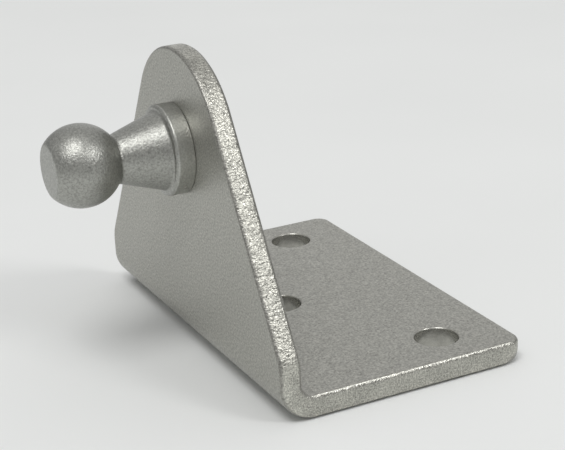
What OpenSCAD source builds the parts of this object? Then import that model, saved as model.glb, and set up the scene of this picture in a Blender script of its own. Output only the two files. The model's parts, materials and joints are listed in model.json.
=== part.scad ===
// Gas spring ball bracket: a folded steel angle that carries a riveted ball stud.
// The spring's socket clips over the ball, and screws hold the base to a lid or a frame.
// Origin: on the underside, midway between the two outer screw holes. +Z is up, the fold
// runs along Y and the ball points along -X. Sizes are in millimetres.

/* [Sheet] */
// Thickness of the sheet
sheet_t = 2.65; // [1.5:0.05:4]
// Radius inside the fold
fold_inner_r = 1.65; // [0.5:0.05:3]
// Width of the bracket, along the fold
width = 50.8; // [46:0.1:80]

/* [Base] */
// Depth of the base, from the upright's outer face to the free edge
base_depth = 32.7; // [28:0.1:60]
// Rounding of the two free corners
base_corner_r = 1.8; // [0.5:0.1:5]
// Diameter of the screw holes
screw_hole_d = 5.4; // [3:0.1:7]
// Distance between the two outer screw holes
screw_spacing = 38.5; // [20:0.5:42]
// Distance from the outer screw holes to the free edge
screw_edge = 8.5; // [5:0.1:12]
// Distance from the inner screw hole to the upright's outer face
inner_screw_reach = 12.7; // [9:0.1:16]

/* [Upright] */
// Height of the stud's axis above the underside
stud_z = 26; // [22:0.5:50]
// Radius of the rounded top, about the stud's axis
top_r = 12.2; // [8:0.1:18]
// Height of the straight sides, from the fold to the taper
straight_h = 2.9; // [2:0.1:8]
// Rounding between the straight sides and the taper
shoulder_r = 4; // [1:0.5:8]

/* [Ball stud] */
// Diameter of the ball
ball_d = 10; // [8:0.5:13]
// Distance from the ball's centre to the upright's outer face
ball_reach = 12.3; // [11:0.1:20]
// Depth of the flat cut off the ball's tip
tip_cut = 1.1; // [0.2:0.1:1.5]
// Diameter of the neck where it leaves the ball
neck_d = 5.8; // [4:0.1:7]
// Diameter of the neck at the collar
neck_root_d = 9.6; // [7:0.1:10]
// Diameter of the collar
collar_d = 11.1; // [10.2:0.1:16]
// Thickness of the collar
collar_t = 2.4; // [1:0.1:4]
// Chamfer on the collar's front edge
collar_chamfer = 0.3; // [0.1:0.05:0.6]

/* [Rivet] */
// Diameter of the shank that passes through the upright
shank_d = 7; // [4:0.1:9]
// Gap between the shank and its hole
shank_gap = 0.05; // [0.02:0.01:0.2]
// Diameter of the formed head behind the upright
head_d = 10; // [9.5:0.1:14]
// Height of the formed head's rim
head_rim = 0.5; // [0.2:0.1:1]
// Height of the formed head at its middle
head_h = 1.5; // [1.2:0.1:3]

/* [Hidden] */
$fn = 96;

// Colours of the matte sheet and of the brighter turned stud
sheet_grey = [0.57, 0.57, 0.54];
stud_grey = [0.62, 0.62, 0.60];

// The upright's outer face, the outside of the fold and the start of the taper
upright_x = screw_edge - base_depth;
fold_r = fold_inner_r + sheet_t;
shoulder_z = fold_r + straight_h;

// Overlap by which tangent curves cross, so that they join without a sliver
join = 0.001;

// Lean of the tapered sides from the vertical, so that they run into the rounded top
blend_r = top_r - join;
side_run = width / 2;
side_rise = stud_z - shoulder_z;
side_lean = atan2(side_run, side_rise) - asin(blend_r / norm([side_run, side_rise]));
side_normal = [cos(side_lean), sin(side_lean)];
shoulder_fillet = min(shoulder_r, straight_h / tan(side_lean / 2));

// The neck's cone, carried into the ball so that the two surfaces cross
ball_r = ball_d / 2;
neck_start = ball_reach - sqrt(pow(ball_r, 2) - pow(neck_d / 2, 2));
neck_slope = (neck_root_d - neck_d) / 2 / (neck_start - collar_t);
neck_sink = ball_r / 4;

// The formed head's dome
dome_h = head_h - head_rim;
dome_r = (pow(head_d / 2, 2) + pow(dome_h, 2)) / (2 * dome_h);

// Reach of the shapes that cut right through the sheet
through = 4 * sheet_t;

// What comes off when a convex corner is rounded, between the two edges that leave it
module round_off(corner, along_a, along_b, r) {
    angle = acos(along_a * along_b);
    reach = r / tan(angle / 2);
    inward = (along_a + along_b) / norm(along_a + along_b);
    difference() {
        polygon([corner - r * inward, corner + reach * along_a, corner + reach * along_b]);
        translate(corner + inward * r / sin(angle / 2)) circle(r + join);
    }
}

// The base's outline, from the fold to the free edge
module base_outline() {
    difference() {
        translate([upright_x + fold_r, -width / 2]) square([base_depth - fold_r, width]);
        for (side = [-1, 1])
            round_off([screw_edge, side * width / 2], [-1, 0], [0, -side], base_corner_r);
    }
}

// The upright's outline seen along the stud, with Y across and Z up
module upright_outline() {
    top_tangent = [0, stud_z] + blend_r * side_normal;
    shoulder = [width / 2, shoulder_z];
    difference() {
        union() {
            translate([0, stud_z]) circle(top_r);
            polygon([
                [-width / 2, fold_r], [width / 2, fold_r], shoulder, top_tangent,
                [-top_tangent.x, top_tangent.y], [-shoulder.x, shoulder.y]
            ]);
        }
        for (side = [-1, 1])
            round_off([side * shoulder.x, shoulder.y], [0, -1],
                      [-side * side_normal.y, side_normal.x], shoulder_fillet);
    }
}

// The quarter turn that joins the base to the upright
module fold() {
    translate([upright_x + fold_r, width / 2, fold_r])
        rotate([90, 0, 0])
            rotate([0, 0, 180])
                rotate_extrude(angle = 90)
                    translate([fold_inner_r, 0]) square([sheet_t, width]);
}

module screw_hole(x, y) {
    translate([x, y, -sheet_t]) cylinder(d = screw_hole_d, h = through);
}

// Turns a shape drawn along +Z so that it runs along +X from the upright's outer face
module on_stud_axis() {
    translate([upright_x, 0, stud_z]) rotate([0, 90, 0]) children();
}

// The folded sheet with its screw holes and the hole for the stud
module bracket() {
    color(sheet_grey)
        difference() {
            union() {
                linear_extrude(sheet_t) base_outline();
                fold();
                translate([upright_x, 0, 0])
                    rotate([90, 0, 90]) linear_extrude(sheet_t) upright_outline();
            }
            for (side = [-1, 1]) screw_hole(0, side * screw_spacing / 2);
            screw_hole(upright_x + inner_screw_reach, 0);
            on_stud_axis()
                translate([0, 0, -sheet_t]) cylinder(d = shank_d + 2 * shank_gap, h = through);
        }
}

// The ball with its tip cut flat
module ball() {
    difference() {
        translate([0, 0, -ball_reach]) sphere(d = ball_d);
        translate([-ball_d / 2, -ball_d / 2, tip_cut - ball_reach - ball_r - ball_d])
            cube(ball_d);
    }
}

// The tapered neck, the collar that seats on the upright, the shank and the formed head
module stem() {
    neck_len = neck_start + neck_sink - collar_t;
    translate([0, 0, -neck_start - neck_sink])
        cylinder(r1 = neck_d / 2 - neck_slope * neck_sink, r2 = neck_root_d / 2, h = neck_len);
    translate([0, 0, -collar_t])
        cylinder(d1 = collar_d - 2 * collar_chamfer, d2 = collar_d, h = collar_chamfer);
    translate([0, 0, collar_chamfer - collar_t]) cylinder(d = collar_d, h = collar_t - collar_chamfer);
    cylinder(d = shank_d, h = sheet_t);
    translate([0, 0, sheet_t]) cylinder(d = head_d, h = head_rim);
    translate([0, 0, sheet_t + head_rim])
        intersection() {
            translate([0, 0, dome_h - dome_r]) sphere(dome_r);
            cylinder(d = head_d, h = dome_h);
        }
}

// The turned stud: one piece from the ball's tip to the head formed behind the upright
module ball_stud() {
    color(stud_grey)
        on_stud_axis() {
            ball();
            stem();
        }
}

bracket();
ball_stud();
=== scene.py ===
# A gas spring's ball bracket: a folded sheet with three screw holes and a riveted ball stud.
import json
import math
from collections import namedtuple

import bmesh
import bpy
from mathutils import Matrix, Vector, noise


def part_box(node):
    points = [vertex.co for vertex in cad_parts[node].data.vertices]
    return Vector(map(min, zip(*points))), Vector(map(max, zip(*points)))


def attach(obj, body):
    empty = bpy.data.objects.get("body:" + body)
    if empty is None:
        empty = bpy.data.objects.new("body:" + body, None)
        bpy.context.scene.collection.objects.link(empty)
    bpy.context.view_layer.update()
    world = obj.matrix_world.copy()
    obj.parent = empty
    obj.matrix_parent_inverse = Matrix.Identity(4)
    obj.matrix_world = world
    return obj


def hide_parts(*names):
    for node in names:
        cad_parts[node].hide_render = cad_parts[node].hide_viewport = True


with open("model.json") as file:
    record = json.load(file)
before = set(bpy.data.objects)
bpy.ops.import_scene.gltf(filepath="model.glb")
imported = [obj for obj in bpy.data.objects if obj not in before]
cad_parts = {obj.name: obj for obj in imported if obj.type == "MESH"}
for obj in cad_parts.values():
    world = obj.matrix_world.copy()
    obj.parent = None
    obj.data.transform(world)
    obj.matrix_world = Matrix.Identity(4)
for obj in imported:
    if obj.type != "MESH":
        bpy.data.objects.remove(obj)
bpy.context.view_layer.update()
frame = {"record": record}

MM = 0.001
BODY = "root"
# Points nearer than this count as one
CLOSE = 0.001 * MM

# Sizes from the frame, in metres
mounts = {mount["name"]: mount for mount in frame["record"]["mounts"]}
sheet_low, sheet_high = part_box("bracket")
stud_low, stud_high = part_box("ball_stud")
inner_hole = mounts["inner_screw_hole"]
outer_holes = mounts["outer_screw_holes"]
sheet_t = inner_hole["dims"]["length_mm"] * MM
screw_r = inner_hole["dims"]["r_mm"] * MM
screw_across = outer_holes["dims"]["spacing_y_mm"] * MM / 2
ball_centre = Vector(mounts["ball"]["pos_m"])
ball_r = mounts["ball"]["dims"]["r_mm"] * MM

# Sizes of the blank and its fold
FOLD_R = 4.3 * MM
BASE_CORNER_R = 1.8 * MM
STRAIGHT_H = 2.9 * MM
SHOULDER_R = 4.0 * MM
SHANK_HOLE_R = 3.55 * MM

half_width = sheet_high.y
upright_x = sheet_low.x
fold_x = upright_x + FOLD_R
fold_run = math.pi / 2 * (FOLD_R - sheet_t / 2)
free_run = fold_x - sheet_high.x
top_r = sheet_high.z - ball_centre.z
stud_run = fold_run + ball_centre.z - FOLD_R

# Edges of the blank, as (width, height): the punch rolls the outer side over, and wear breaks the inner side
UPRIGHT_ROLL = (0.32 * MM, 0.46 * MM)
BASE_ROLL = (0.14 * MM, 0.14 * MM)
UPRIGHT_WORN = (0.22 * MM, 0.36 * MM)
BASE_WORN = (0.25 * MM, 0.32 * MM)
HOLE_RIM = (0.12 * MM, 0.12 * MM)
# Under the base's free corners the roll grows, so that the underside has a larger rounding there
CORNER_ROLL_R = 2.9 * MM
CORNER_ROLL_GROWTH = (CORNER_ROLL_R - BASE_CORNER_R) * (math.sqrt(2) - 1)
CORNER_ROLL = (BASE_ROLL[0] + CORNER_ROLL_GROWTH, 1.5 * MM)
# How nearly a worn corner is a plain chamfer, where 0 is a rounding
WORN_FLATNESS = 0.75
# Shares of painted shade at the bottom and top of the base's wall, and of painted shade in the upright's
# worn corner
BASE_SHADE = (0.26, 0.36)
UPRIGHT_EDGE_SHADE = 0.85
# A flat ring beside each rounded edge, which keeps the big faces flat
MARGIN = 0.15 * MM
# Steps across an edge and along it
ROLL_STEPS = 6
WORN_STEPS = 6
WALL_STEPS = 8
EDGE_STEP = 0.22 * MM
HOLE_POINTS = 96
# Depth of the pits in sheared metal, and how many lie in a metre
ROUGHNESS_DEPTH = 0.02 * MM
ROUGHNESS_PER_M = 900

# Sizes of the ball stud: its collar, neck, tip, shank and formed head
COLLAR_R = 5.55 * MM
COLLAR_T = 2.4 * MM
COLLAR_CHAMFER = 0.3 * MM
NECK_R = 2.9 * MM
NECK_FOOT_R = 4.8 * MM
NECK_FILLET = 0.35 * MM
FOOT_FILLET = 0.30 * MM
TIP_FILLET = 0.85 * MM
COLLAR_ROUND = 0.14 * MM
SHANK_R = 3.5 * MM
HEAD_R = 5.0 * MM
HEAD_RIM = 0.5 * MM
HEAD_ROUND = 0.25 * MM
# Sides of the lathe, and its steps along a curve and round a corner
LATHE_SIDES = 192
LATHE_STEP = 0.12 * MM
ROUND_STEPS = 6


def on_sheet(run, across, depth):
    """The point of the folded sheet at this place on the flat blank, this deep under the outer face."""
    if run <= 0:
        return Vector((fold_x - run, across, depth))
    if run >= fold_run:
        return Vector((upright_x + depth, across, FOLD_R + run - fold_run))
    angle = run / fold_run * math.pi / 2
    radius = FOLD_R - depth
    return Vector((fold_x - radius * math.sin(angle), across, FOLD_R - radius * math.cos(angle)))


def line_points(start, end):
    """Points of a straight stretch, without its end, each with the normal on its left."""
    along = Vector(end) - Vector(start)
    count = max(1, math.ceil(along.length / EDGE_STEP))
    normal = Vector((-along.y, along.x)).normalized()
    return [(Vector(start) + along * i / count, normal) for i in range(count)]


def arc_points(centre, radius, start, end):
    """Points of an arc from one angle to another, without its end, each with the normal that points out."""
    count = max(2, math.ceil(abs(end - start) * radius / EDGE_STEP))
    points = []
    for i in range(count):
        angle = start + (end - start) * i / count
        normal = Vector((math.cos(angle), math.sin(angle)))
        points.append((Vector(centre) + normal * radius, normal))
    return points


def blank_half():
    """One half of the blank's outline, from the middle of its free edge to the middle of its rounded top."""
    top = Vector((stud_run, 0))
    rise = stud_run - fold_run - STRAIGHT_H
    lean = math.atan2(half_width, rise) - math.asin(top_r / math.hypot(half_width, rise))
    sink = SHOULDER_R * math.tan(lean / 2)
    shoulder = Vector((fold_run + STRAIGHT_H - sink, half_width - SHOULDER_R))
    quarter = math.pi / 2
    taper = quarter - lean
    taper_normal = Vector((math.cos(taper), math.sin(taper)))
    corner = Vector((free_run + BASE_CORNER_R, half_width - BASE_CORNER_R))
    stretches = [
        line_points((free_run, 0), (free_run, corner.y)),
        arc_points(corner, BASE_CORNER_R, math.pi, quarter),
        line_points((corner.x, half_width), (0, half_width)),
        line_points((0, half_width), (fold_run, half_width)),
        line_points((fold_run, half_width), (shoulder.x, half_width)),
        arc_points(shoulder, SHOULDER_R, quarter, taper),
        line_points(shoulder + taper_normal * SHOULDER_R, top + taper_normal * top_r),
        arc_points(top, top_r, taper, 0),
        [(top + Vector((top_r, 0)), Vector((1, 0)))],
    ]
    return [point for stretch in stretches for point in stretch]


def mirrored(points):
    """The same points on the blank's other half."""
    flip = Vector((1, -1))
    return [(place * flip, normal * flip) for place, normal in points]


def hole_points(run, across, radius):
    """A round hole in the blank; its normals point out of the sheet, to the hole's middle."""
    centre = Vector((run, across))
    points = []
    for i in range(HOLE_POINTS):
        angle = 2 * math.pi * i / HOLE_POINTS
        out = Vector((math.cos(angle), math.sin(angle)))
        points.append((centre + out * radius, -out))
    return points


# One ring of an edge: its place, and its shares of sheared metal, painted shade, worn corner and burnished
# wall
EdgeRing = namedtuple("EdgeRing", "inset depth bare dark worn land")
SHARES = ("bare", "dark", "worn", "land")


def edge_profile(roll, corner, bare=1, shade=(0, 0), edge_shade=0, land=0):
    """The rings of an edge: the roll on the outer face, the wall, and the worn corner on the inner face,
    with painted shade along the roll and the corner and on the base's wall.
    """
    (roll_w, roll_h), (corner_w, corner_h) = roll, corner
    low_shade, high_shade = shade
    rings = [EdgeRing(roll_w + MARGIN, 0, 0, 0, 0, 0)]
    for i in range(ROLL_STEPS):
        share = i / ROLL_STEPS
        angle = share * math.pi / 2
        inset, depth = roll_w * (1 - math.sin(angle)), roll_h * (1 - math.cos(angle))
        # Painted shade: a darker line along the middle of the roll, and the base wall's shade from its
        # bottom
        rolled = max(math.sin(2 * angle) * bare, low_shade * share)
        rings.append(EdgeRing(inset, depth, share * bare, rolled, 0, share * land))
    for i in range(WALL_STEPS + 1):
        share = i / WALL_STEPS
        depth = roll_h + (sheet_t - roll_h - corner_h) * share
        # Painted shade on the base's wall, darker towards its top
        rings.append(EdgeRing(0, depth, bare, low_shade + (high_shade - low_shade) * share, 0, land))
    for i in range(1, WORN_STEPS + 1):
        share = i / WORN_STEPS
        angle = share * math.pi / 2
        across = WORN_FLATNESS * share + (1 - WORN_FLATNESS) * (1 - math.cos(angle))
        down = WORN_FLATNESS * share + (1 - WORN_FLATNESS) * math.sin(angle)
        depth = sheet_t - corner_h * (1 - down)
        left = 1 - share
        middle = math.sin(2 * angle) * bare
        # Painted shade in the worn corner: the base wall's shade fading out, and on the upright a darker
        # line
        dark, rub = max(high_shade * left, middle * edge_shade), middle * (1 - edge_shade)
        rings.append(EdgeRing(corner_w * across, depth, left * bare, dark, rub, left * land))
    rings.append(EdgeRing(corner_w + MARGIN, sheet_t, 0, 0, 0, 0))
    return rings


def between(low_ring, high_ring, share):
    """The ring at a share of the way from one ring to another."""
    return EdgeRing(*(low + (high - low) * share for low, high in zip(low_ring, high_ring)))


def corner_share(place, normal):
    """How far this place of the outline lies into a free corner's larger roll, up to 1 at its middle."""
    from_centre = Vector((place.x - free_run - CORNER_ROLL_R, abs(place.y) - half_width + CORNER_ROLL_R))
    if from_centre.x > 0 or from_centre.y < 0:
        return 0
    out = from_centre.dot(Vector((normal.x, abs(normal.y))))
    growth = out - math.sqrt(out ** 2 - from_centre.length_squared + CORNER_ROLL_R ** 2)
    return growth / CORNER_ROLL_GROWTH


def make_edge(bm, points, base_profile, corner_profile, upright_profile):
    """Rings of an edge all round a loop of the blank; returns the rings on the outer and inner faces."""
    layers = bm.verts.layers
    rings = []
    for base_ring, corner_ring, upright_ring in zip(base_profile, corner_profile, upright_profile):
        ring = []
        for place, normal in points:
            turn = corner_share(place, normal)
            rise = min(1, max(0, place.x / fold_run))
            edge = between(between(base_ring, corner_ring, turn), upright_ring, rise)
            grain = noise.noise(on_sheet(place.x, place.y, edge.depth) * ROUGHNESS_PER_M)
            pit = ROUGHNESS_DEPTH * edge.bare * (0.5 + 0.5 * grain)
            spot = place - normal * (edge.inset + pit)
            vert = bm.verts.new(on_sheet(spot.x, spot.y, edge.depth))
            for share in SHARES:
                vert[layers.float[share]] = getattr(edge, share)
            vert[layers.float_vector["blank"]] = Vector((spot.x, spot.y, edge.depth)) / MM
            ring.append(vert)
        rings.append(ring)
    for low, high in zip(rings, rings[1:]):
        for i in range(len(points)):
            j = (i + 1) % len(points)
            bm.faces.new((low[i], low[j], high[j], high[i]))
    for ring in (rings[0], rings[-1]):
        for edge in loop_edges(bm, ring):
            edge.smooth = False
    return rings[0], rings[-1]


def loop_edges(bm, verts):
    """The edges round a loop of vertices, made where they are missing."""
    return [bm.edges.get(pair) or bm.edges.new(pair) for pair in zip(verts, verts[1:] + verts[:1])]


def fill_flat(bm, outline, holes):
    """Fills a flat face inside its outline and round its holes."""
    edges = loop_edges(bm, outline)
    for hole in holes:
        edges += loop_edges(bm, hole)
    bmesh.ops.triangle_fill(bm, use_beauty=True, use_dissolve=False, edges=edges)


def cover_side(bm, ring, first, last, count, base_holes, upright_holes):
    """One whole face of the sheet: the base, the strips of the fold and the upright."""
    fill_flat(bm, ring[count - first:] + ring[:first + 1], base_holes)
    for i in range(first, last):
        bm.faces.new((ring[i], ring[i + 1], ring[count - i - 1], ring[count - i]))
    fill_flat(bm, ring[last:count - last + 1], upright_holes)


def finish_piece(name, bm, material, replaced):
    """A piece from a mesh in the row's frame, riding on the one body."""
    bmesh.ops.recalc_face_normals(bm, faces=bm.faces)
    mesh = bpy.data.meshes.new(name)
    bm.to_mesh(mesh)
    bm.free()
    mesh.polygons.foreach_set("use_smooth", [True] * len(mesh.polygons))
    mesh.materials.append(material)
    piece = bpy.data.objects.new(name, mesh)
    bpy.context.scene.collection.objects.link(piece)
    weighted = piece.modifiers.new("even_normals", "WEIGHTED_NORMAL")
    weighted.keep_sharp = True
    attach(piece, BODY)
    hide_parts(replaced)


def make_sheet(material):
    """The folded sheet with its rolled and sheared edges and its punched holes."""
    bm = bmesh.new()
    for share in SHARES:
        bm.verts.layers.float.new(share)
    bm.verts.layers.float_vector.new("blank")
    half = blank_half()
    outline = half + mirrored(half[-2:0:-1])
    base_edge = edge_profile(BASE_ROLL, BASE_WORN, shade=BASE_SHADE)
    corner_edge = edge_profile(CORNER_ROLL, BASE_WORN, shade=BASE_SHADE)
    upright_edge = edge_profile(UPRIGHT_ROLL, UPRIGHT_WORN, edge_shade=UPRIGHT_EDGE_SHADE)
    outer, inner = make_edge(bm, outline, base_edge, corner_edge, upright_edge)
    inner_hole_run = fold_x - inner_hole["pos_m"][0]
    outer_hole_run = fold_x - outer_holes["pos_m"][0]
    screw_holes = [
        hole_points(outer_hole_run, screw_across, screw_r),
        hole_points(outer_hole_run, -screw_across, screw_r),
        hole_points(inner_hole_run, 0, screw_r),
    ]
    punched = edge_profile(HOLE_RIM, HOLE_RIM, bare=0, land=1)
    base_loops = [make_edge(bm, hole, punched, punched, punched) for hole in screw_holes]
    shank_loop = make_edge(bm, hole_points(stud_run, 0, SHANK_HOLE_R), punched, punched, punched)
    runs = [place.x for place, normal in half]
    first = max(i for i, run in enumerate(runs) if run <= CLOSE)
    last = min(i for i, run in enumerate(runs) if run >= fold_run - CLOSE)
    for side, ring in enumerate((outer, inner)):
        base_holes = [loops[side] for loops in base_loops]
        cover_side(bm, ring, first, last, len(outline), base_holes, [shank_loop[side]])
    finish_piece("folded_sheet", bm, material, "bracket")


def softened(corners):
    """A line of (x, radius) through corners of (x, radius, softness), with each corner rounded off."""
    places = [Vector(corner[:2]) for corner in corners]
    rows = [places[0]]
    for before, place, after, corner in zip(places, places[1:], places[2:], corners[1:]):
        soft = corner[2]
        if not soft:
            rows.append(place)
            continue
        start = place + (before - place).normalized() * soft
        end = place + (after - place).normalized() * soft
        for i in range(ROUND_STEPS + 1):
            t = i / ROUND_STEPS
            rows.append(start * (1 - t) ** 2 + place * 2 * t * (1 - t) + end * t ** 2)
    rows.append(places[-1])
    return rows[:1] + [row for last, row in zip(rows, rows[1:]) if (row - last).length > CLOSE]


def arc_rows(centre_x, centre_r, radius, start, end):
    """(x, radius, softness) along an arc round a point, between two angles from the tip's direction."""
    count = math.ceil(abs(end - start) * radius / LATHE_STEP)
    rows = []
    for i in range(count + 1):
        angle = start + (end - start) * i / count
        rows.append((centre_x - radius * math.cos(angle), centre_r + radius * math.sin(angle), 0))
    return rows


def ball_rows(end):
    """The flat tip, its rounded rim and the ball as far as an angle from the tip's direction."""
    tip_x = stud_low.x
    rim_x = tip_x + TIP_FILLET
    rim_r = math.sqrt((ball_r - TIP_FILLET) ** 2 - (ball_centre.x - rim_x) ** 2)
    rim_end = math.atan2(rim_r, ball_centre.x - rim_x)
    rim = arc_rows(rim_x, rim_r, TIP_FILLET, 0, rim_end)
    return [(tip_x, 0, 0)] + rim[:-1] + arc_rows(ball_centre.x, 0, ball_r, rim_end, end)


def stud_profile():
    """(x, radius) down the stud, from the middle of its tip to the middle of its rivet head."""
    neck_angle = math.pi - math.asin(NECK_R / ball_r)
    neck_x = ball_centre.x - ball_r * math.cos(neck_angle)
    collar_x = upright_x - COLLAR_T
    inner_x = upright_x + sheet_t
    dome_x = inner_x + HEAD_RIM
    dome_h = stud_high.x - dome_x
    dome_r = (HEAD_R ** 2 + dome_h ** 2) / (2 * dome_h)
    dome_angle = math.pi - math.asin(HEAD_R / dome_r)
    corners = ball_rows(neck_angle - NECK_FILLET / ball_r)
    corners += [
        (neck_x, NECK_R, NECK_FILLET),
        (collar_x, NECK_FOOT_R, FOOT_FILLET),
        (collar_x, COLLAR_R - COLLAR_CHAMFER, COLLAR_ROUND),
        (collar_x + COLLAR_CHAMFER, COLLAR_R, COLLAR_ROUND),
        (upright_x, COLLAR_R, COLLAR_ROUND),
        (upright_x, SHANK_R, 0),
        (inner_x, SHANK_R, 0),
        (inner_x, HEAD_R, HEAD_ROUND),
        (dome_x, HEAD_R, HEAD_ROUND),
    ]
    corners += arc_rows(stud_high.x - dome_r, 0, dome_r, dome_angle + HEAD_ROUND / dome_r, math.pi)
    return softened(corners)


def make_stud(material):
    """The turned ball stud."""
    bm = bmesh.new()
    rings = []
    for x, radius in stud_profile():
        if radius < CLOSE:
            rings.append([bm.verts.new((x, 0, ball_centre.z))])
            continue
        ring = []
        for i in range(LATHE_SIDES):
            angle = 2 * math.pi * i / LATHE_SIDES
            across, rise = radius * math.cos(angle), radius * math.sin(angle)
            ring.append(bm.verts.new((x, across, ball_centre.z + rise)))
        rings.append(ring)
    for low, high in zip(rings, rings[1:]):
        for i in range(LATHE_SIDES):
            j = (i + 1) % LATHE_SIDES
            corners = [low[i % len(low)], low[j % len(low)], high[j % len(high)], high[i % len(high)]]
            bm.faces.new(list(dict.fromkeys(corners)))
    finish_piece("turned_stud", bm, material, "ball_stud")


def add_node(tree, kind, **sockets):
    """A node with its sockets set, or linked where the value is another node's socket."""
    node = tree.nodes.new(kind)
    for name, value in sockets.items():
        socket = node.inputs[name.replace("_", " ")]
        if isinstance(value, bpy.types.NodeSocket):
            tree.links.new(value, socket)
        else:
            socket.default_value = value
    return node


def new_material(name):
    """An empty material with a shader on its output."""
    material = bpy.data.materials.new(name)
    material.use_nodes = True
    tree = material.node_tree
    tree.nodes.clear()
    shader = tree.nodes.new("ShaderNodeBsdfPrincipled")
    output = tree.nodes.new("ShaderNodeOutputMaterial")
    tree.links.new(shader.outputs["BSDF"], output.inputs["Surface"])
    return material, tree, shader


def stretched(tree, vector, scale):
    """A vector scaled along each of its axes."""
    return add_node(tree, "ShaderNodeMapping", Vector=vector, Scale=scale).outputs["Vector"]


def millimetres(tree):
    """The object's own coordinates in millimetres."""
    place = tree.nodes.new("ShaderNodeTexCoord").outputs["Object"]
    return stretched(tree, place, (1 / MM, 1 / MM, 1 / MM))


def cloud(tree, vector, scale, detail, roughness=0.5):
    """A noise of so many blotches per unit of its vector."""
    node = add_node(
        tree, "ShaderNodeTexNoise", Vector=vector, Scale=scale, Detail=detail, Roughness=roughness
    )
    return node.outputs["Fac"]


def ramp(tree, factor, stops):
    """A colour for each stop of a factor."""
    node = add_node(tree, "ShaderNodeValToRGB", Fac=factor)
    elements = node.color_ramp.elements
    while len(elements) < len(stops):
        elements.new(0.5)
    for element, (position, colour) in zip(elements, stops):
        element.position = position
        element.color = (*colour, 1)
    return node.outputs["Color"]


def span(tree, factor, low, high):
    """A factor of 0 to 1 stretched from low to high."""
    node = add_node(tree, "ShaderNodeMapRange", Value=factor, To_Min=low, To_Max=high)
    return node.outputs["Result"]


def mix_value(tree, factor, a, b):
    """A number between two, by a factor."""
    node = tree.nodes.new("ShaderNodeMix")
    node.data_type = "FLOAT"
    for socket, value in zip(node.inputs[:1] + node.inputs[2:4], (factor, a, b)):
        tree.links.new(value, socket)
    return node.outputs[0]


def mix_colour(tree, factor, a, b):
    """A colour between two, by a factor."""
    node = tree.nodes.new("ShaderNodeMix")
    node.data_type = "RGBA"
    for socket, value in zip(node.inputs[:1] + node.inputs[6:8], (factor, a, b)):
        tree.links.new(value, socket)
    return node.outputs[2]


def painted(tree, name):
    """The attribute of this name on the mesh."""
    node = tree.nodes.new("ShaderNodeAttribute")
    node.attribute_name = name
    return node.outputs


# Tones of the sheet's metal as stops of a noise: its faces, its sheared edges where they are dull and clean,
# the painted shade along its edges, and the burnished walls of its holes
FACE_TONES = [(0.3, (0.221, 0.218, 0.199)), (0.7, (0.579, 0.575, 0.524))]
DULL_TONES = [(0.3, (0.17, 0.168, 0.153)), (0.7, (0.67, 0.664, 0.601))]
CLEAN_TONES = [(0.3, (0.31, 0.307, 0.278)), (0.7, (0.87, 0.859, 0.774))]
# Painted shade for the rolled and worn edges and the base's wall
EDGE_SHADE_TONES = [(0.3, (0.19, 0.187, 0.172)), (0.7, (0.43, 0.424, 0.388))]
HOLE_TONES = [(0.3, (0.39, 0.386, 0.355)), (0.7, (0.51, 0.505, 0.464))]
# Share of clean metal on the sheared edges, from the low to the high end of a noise
CLEAN_SHARE = (-0.4, 1.4)
# Roughness from the low to the high end of a noise: faces, sheared edges, worn corners and holes
FACE_ROUGHNESS = (0.32, 0.44)
SHEARED_ROUGHNESS = (0.44, 0.22)
WORN_ROUGHNESS = (0.40, 0.12)
HOLE_ROUGHNESS = (0.28, 0.12)
# How metallic the faces and the sheared edges are, and how strong the grain is on the faces and in the holes
SHEET_METALLIC = (0.75, 1)
GRAIN_STRENGTH = (0.5, 0.1)
# Depths of the grain, and of the speckle and the streaks on the sheared edges
GRAIN_DEPTH = 0.05 * MM
SPECKLE_DEPTH = 0.15 * MM
STREAK_DEPTH = 0.06 * MM


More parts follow.
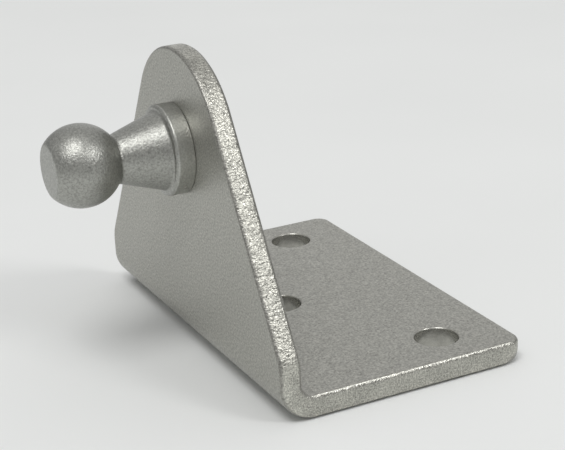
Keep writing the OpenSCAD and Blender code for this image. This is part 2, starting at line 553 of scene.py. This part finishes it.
def sheet_finish():
    """Matte grey sheet steel with a fine grain, glittering metal where it was sheared, and painted shade
    along its edges.
    """
    material, tree, shader = new_material("matte_sheet")
    blank = painted(tree, "blank")["Vector"]
    bare, dark, worn, land = (painted(tree, share)["Fac"] for share in SHARES)
    mottle = cloud(tree, blank, scale=0.5, detail=4)
    grain = cloud(tree, blank, scale=4, detail=3, roughness=0.7)
    patches = cloud(tree, blank, scale=1.4, detail=3, roughness=0.6)
    drift = cloud(tree, blank, scale=0.5, detail=2)
    grit = cloud(tree, blank, scale=5, detail=2, roughness=0.6)
    speckle = cloud(tree, stretched(tree, blank, (3.1, 3.1, 2.1)), scale=1, detail=2, roughness=0.55)
    streaks = cloud(tree, stretched(tree, blank, (2.4, 2.4, 0.3)), scale=1, detail=2)
    face = ramp(tree, grain, FACE_TONES)
    dull = ramp(tree, grit, DULL_TONES)
    clean = ramp(tree, grit, CLEAN_TONES)
    sheared = mix_colour(tree, span(tree, drift, *CLEAN_SHARE), dull, clean)
    edge_shade = ramp(tree, grit, EDGE_SHADE_TONES)
    metal = mix_colour(tree, bare, face, sheared)
    # Painted shade darkens the rolled and worn edges and the base's wall
    metal = mix_colour(tree, dark, metal, edge_shade)
    burnished = ramp(tree, patches, HOLE_TONES)
    metal = mix_colour(tree, land, metal, burnished)
    tree.links.new(metal, shader.inputs["Base Color"])
    tree.links.new(span(tree, bare, *SHEET_METALLIC), shader.inputs["Metallic"])
    rough = span(tree, mottle, *FACE_ROUGHNESS)
    rough = mix_value(tree, bare, rough, span(tree, patches, *SHEARED_ROUGHNESS))
    rough = mix_value(tree, worn, rough, span(tree, patches, *WORN_ROUGHNESS))
    rough = mix_value(tree, land, rough, span(tree, patches, *HOLE_ROUGHNESS))
    tree.links.new(rough, shader.inputs["Roughness"])
    strength = span(tree, land, *GRAIN_STRENGTH)
    fine = add_node(tree, "ShaderNodeBump", Height=grain, Strength=strength, Distance=GRAIN_DEPTH)
    coarse = add_node(
        tree, "ShaderNodeBump", Height=speckle, Strength=bare, Distance=SPECKLE_DEPTH,
        Normal=fine.outputs["Normal"]
    )
    drawn = add_node(
        tree, "ShaderNodeBump", Height=streaks, Strength=bare, Distance=STREAK_DEPTH,
        Normal=coarse.outputs["Normal"]
    )
    tree.links.new(drawn.outputs["Normal"], shader.inputs["Normal"])
    return material


# Tones of the stud's metal as stops of a noise: its ball and neck, and a paler tone from the collar on, a
# painted highlight
STUD_TONES = [(0.3, (0.245, 0.247, 0.228)), (0.7, (0.475, 0.477, 0.445))]
COLLAR_HIGHLIGHT_TONES = [(0.3, (0.36, 0.362, 0.335)), (0.7, (0.56, 0.562, 0.524))]
# Where the painted highlight starts along the stud, at the collar, and the stretch in which it sets in, in
# millimetres
COLLAR_FROM = (upright_x - COLLAR_T + COLLAR_CHAMFER) / MM
COLLAR_BLEND = 0.1
# Roughness from the low to the high end of a noise, and how metallic the stud is
STUD_ROUGHNESS = (0.24, 0.36)
STUD_METALLIC = 0.85
# Depths of the marks of turning and of tumbling
TURNED_DEPTH = 0.03 * MM
TUMBLED_DEPTH = 0.058 * MM


def stud_finish():
    """Satin turned steel with the tumbled grain that breaks up its highlights, and a painted highlight that
    makes the collar paler.
    """
    material, tree, shader = new_material("satin_stud")
    place = millimetres(tree)
    mottle = cloud(tree, place, scale=0.6, detail=4)
    grain = cloud(tree, place, scale=4.2, detail=3, roughness=0.65)
    turning = cloud(tree, stretched(tree, place, (7, 0.2, 0.2)), scale=1, detail=2)
    metal = ramp(tree, grain, STUD_TONES)
    pale = ramp(tree, grain, COLLAR_HIGHLIGHT_TONES)
    along = add_node(tree, "ShaderNodeSeparateXYZ", Vector=place).outputs["X"]
    collar = add_node(
        tree, "ShaderNodeMapRange", Value=along,
        From_Min=COLLAR_FROM - COLLAR_BLEND, From_Max=COLLAR_FROM
    )
    # Painted highlight: the collar, shank and head are paler than the ball and neck
    metal = mix_colour(tree, collar.outputs["Result"], metal, pale)
    tree.links.new(metal, shader.inputs["Base Color"])
    tree.links.new(span(tree, mottle, *STUD_ROUGHNESS), shader.inputs["Roughness"])
    turned = add_node(tree, "ShaderNodeBump", Height=turning, Strength=0.5, Distance=TURNED_DEPTH)
    tumbled = add_node(
        tree, "ShaderNodeBump", Height=grain, Strength=1, Distance=TUMBLED_DEPTH,
        Normal=turned.outputs["Normal"]
    )
    tree.links.new(tumbled.outputs["Normal"], shader.inputs["Normal"])
    shader.inputs["Metallic"].default_value = STUD_METALLIC
    return material


# The floor: its tones as stops of a noise, its width and the gap under the part
FLOOR_TONES = [(0.3, (0.830, 0.840, 0.830)), (0.7, (0.850, 0.860, 0.850))]
FLOOR_SIZE = 6.0
FLOOR_GAP = 0.30 * MM


def floor_finish():
    """Plain pale card."""
    material, tree, shader = new_material("pale_card")
    mottle = cloud(tree, millimetres(tree), scale=0.02, detail=2)
    tree.links.new(ramp(tree, mottle, FLOOR_TONES), shader.inputs["Base Color"])
    shader.inputs["Roughness"].default_value = 0.9
    shader.inputs["Specular IOR Level"].default_value = 0.1
    return material


def make_floor():
    """A wide pale floor just under the part."""
    bm = bmesh.new()
    bmesh.ops.create_grid(bm, x_segments=1, y_segments=1, size=FLOOR_SIZE / 2)
    mesh = bpy.data.meshes.new("floor")
    bm.to_mesh(mesh)
    bm.free()
    mesh.materials.append(floor_finish())
    floor = bpy.data.objects.new("floor", mesh)
    floor.location.z = -FLOOR_GAP
    bpy.context.scene.collection.objects.link(floor)


# Studio light: a room that is paler towards its ceiling, and a pale wall behind the part
HEIGHT_TONES = [
    (0.50, (0.27, 0.27, 0.27)),
    (0.58, (0.32, 0.32, 0.32)),
    (0.67, (0.42, 0.42, 0.42)),
    (0.78, (0.52, 0.52, 0.52)),
    (0.90, (0.57, 0.57, 0.57)),
    (1.00, (0.60, 0.60, 0.60)),
]
WALL_SIDE = (0.44, 0.88, 0.18)
WALL_TONES = [
    (0.94, (0.00, 0.00, 0.00)),
    (1.00, (0.37, 0.37, 0.37)),
]
# The lamps: where they point, how far off they stand, and the side, size and power of each
LAMP_TARGET = Vector((-10, 0, 10)) * MM
LAMP_DISTANCE = 1.6
KEY_FROM = Vector((-0.33, -0.29, 0.90))
KEY_SIZE = 0.70
KEY_POWER = 8.4
SIDE_FROM = Vector((0.38, -0.63, 0.67))
SIDE_SIZE = 0.45
SIDE_POWER = 4.3


def toward(tree, direction, side):
    """How far a direction points to a side, from 0 straight away from it to 1 straight towards it."""
    facing = tree.nodes.new("ShaderNodeVectorMath")
    facing.operation = "DOT_PRODUCT"
    tree.links.new(direction, facing.inputs[0])
    facing.inputs[1].default_value = Vector(side).normalized()
    return add_node(tree, "ShaderNodeMapRange", Value=facing.outputs["Value"], From_Min=-1).outputs["Result"]


def light_world():
    """A plain room with a pale wall on one side."""
    world = bpy.data.worlds.new("studio")
    bpy.context.scene.world = world
    world.use_nodes = True
    tree = world.node_tree
    tree.nodes.clear()
    direction = tree.nodes.new("ShaderNodeTexCoord").outputs["Generated"]
    room = ramp(tree, toward(tree, direction, (0, 0, 1)), HEIGHT_TONES)
    wall = ramp(tree, toward(tree, direction, WALL_SIDE), WALL_TONES)
    both = tree.nodes.new("ShaderNodeAddShader")
    for tone, socket in zip((room, wall), both.inputs):
        shine = add_node(tree, "ShaderNodeBackground", Color=tone)
        tree.links.new(shine.outputs["Background"], socket)
    output = tree.nodes.new("ShaderNodeOutputWorld")
    tree.links.new(both.outputs["Shader"], output.inputs["Surface"])


def add_lamp(name, direction, size, power):
    """A round soft lamp that shines on the part from a direction."""
    data = bpy.data.lights.new(name, "AREA")
    data.shape = "DISK"
    data.size = size
    data.energy = power
    lamp = bpy.data.objects.new(name, data)
    lamp.location = LAMP_TARGET + direction.normalized() * LAMP_DISTANCE
    lamp.rotation_mode = "QUATERNION"
    lamp.rotation_quaternion = (-direction).to_track_quat("-Z", "Y")
    bpy.context.scene.collection.objects.link(lamp)


# The camera, at the photograph's viewing angle
CAMERA_EYE = Vector((-90.93, -163.98, 81.58)) * MM
CAMERA_AZIMUTH = math.radians(-26.089)
CAMERA_ELEVATION = math.radians(20.517)
CAMERA_ROLL = math.radians(-2.555)
CAMERA_LENS = 98.285
CAMERA_SENSOR = 36
CAMERA_NEAR = 0.005
CAMERA_FAR = 20


def aim_camera():
    """The scene's camera."""
    azimuth, elevation = CAMERA_AZIMUTH, CAMERA_ELEVATION
    level = Vector((math.cos(azimuth), math.sin(azimuth), 0))
    back = Vector((
        math.sin(azimuth) * math.cos(elevation),
        -math.cos(azimuth) * math.cos(elevation),
        math.sin(elevation),
    ))
    rise = back.cross(level)
    right = level * math.cos(CAMERA_ROLL) + rise * math.sin(CAMERA_ROLL)
    up = back.cross(right)
    data = bpy.data.cameras.new("camera")
    data.lens = CAMERA_LENS
    data.sensor_width = CAMERA_SENSOR
    data.clip_start = CAMERA_NEAR
    data.clip_end = CAMERA_FAR
    camera = bpy.data.objects.new("camera", data)
    turn = Matrix((right, up, back)).transposed()
    camera.matrix_world = Matrix.Translation(CAMERA_EYE) @ turn.to_4x4()
    bpy.context.scene.collection.objects.link(camera)
    bpy.context.scene.camera = camera


bpy.context.scene.view_settings.view_transform = "Standard"
aim_camera()
light_world()
add_lamp("key_lamp", KEY_FROM, KEY_SIZE, KEY_POWER)
add_lamp("side_lamp", SIDE_FROM, SIDE_SIZE, SIDE_POWER)
make_floor()
make_sheet(sheet_finish())
make_stud(stud_finish())
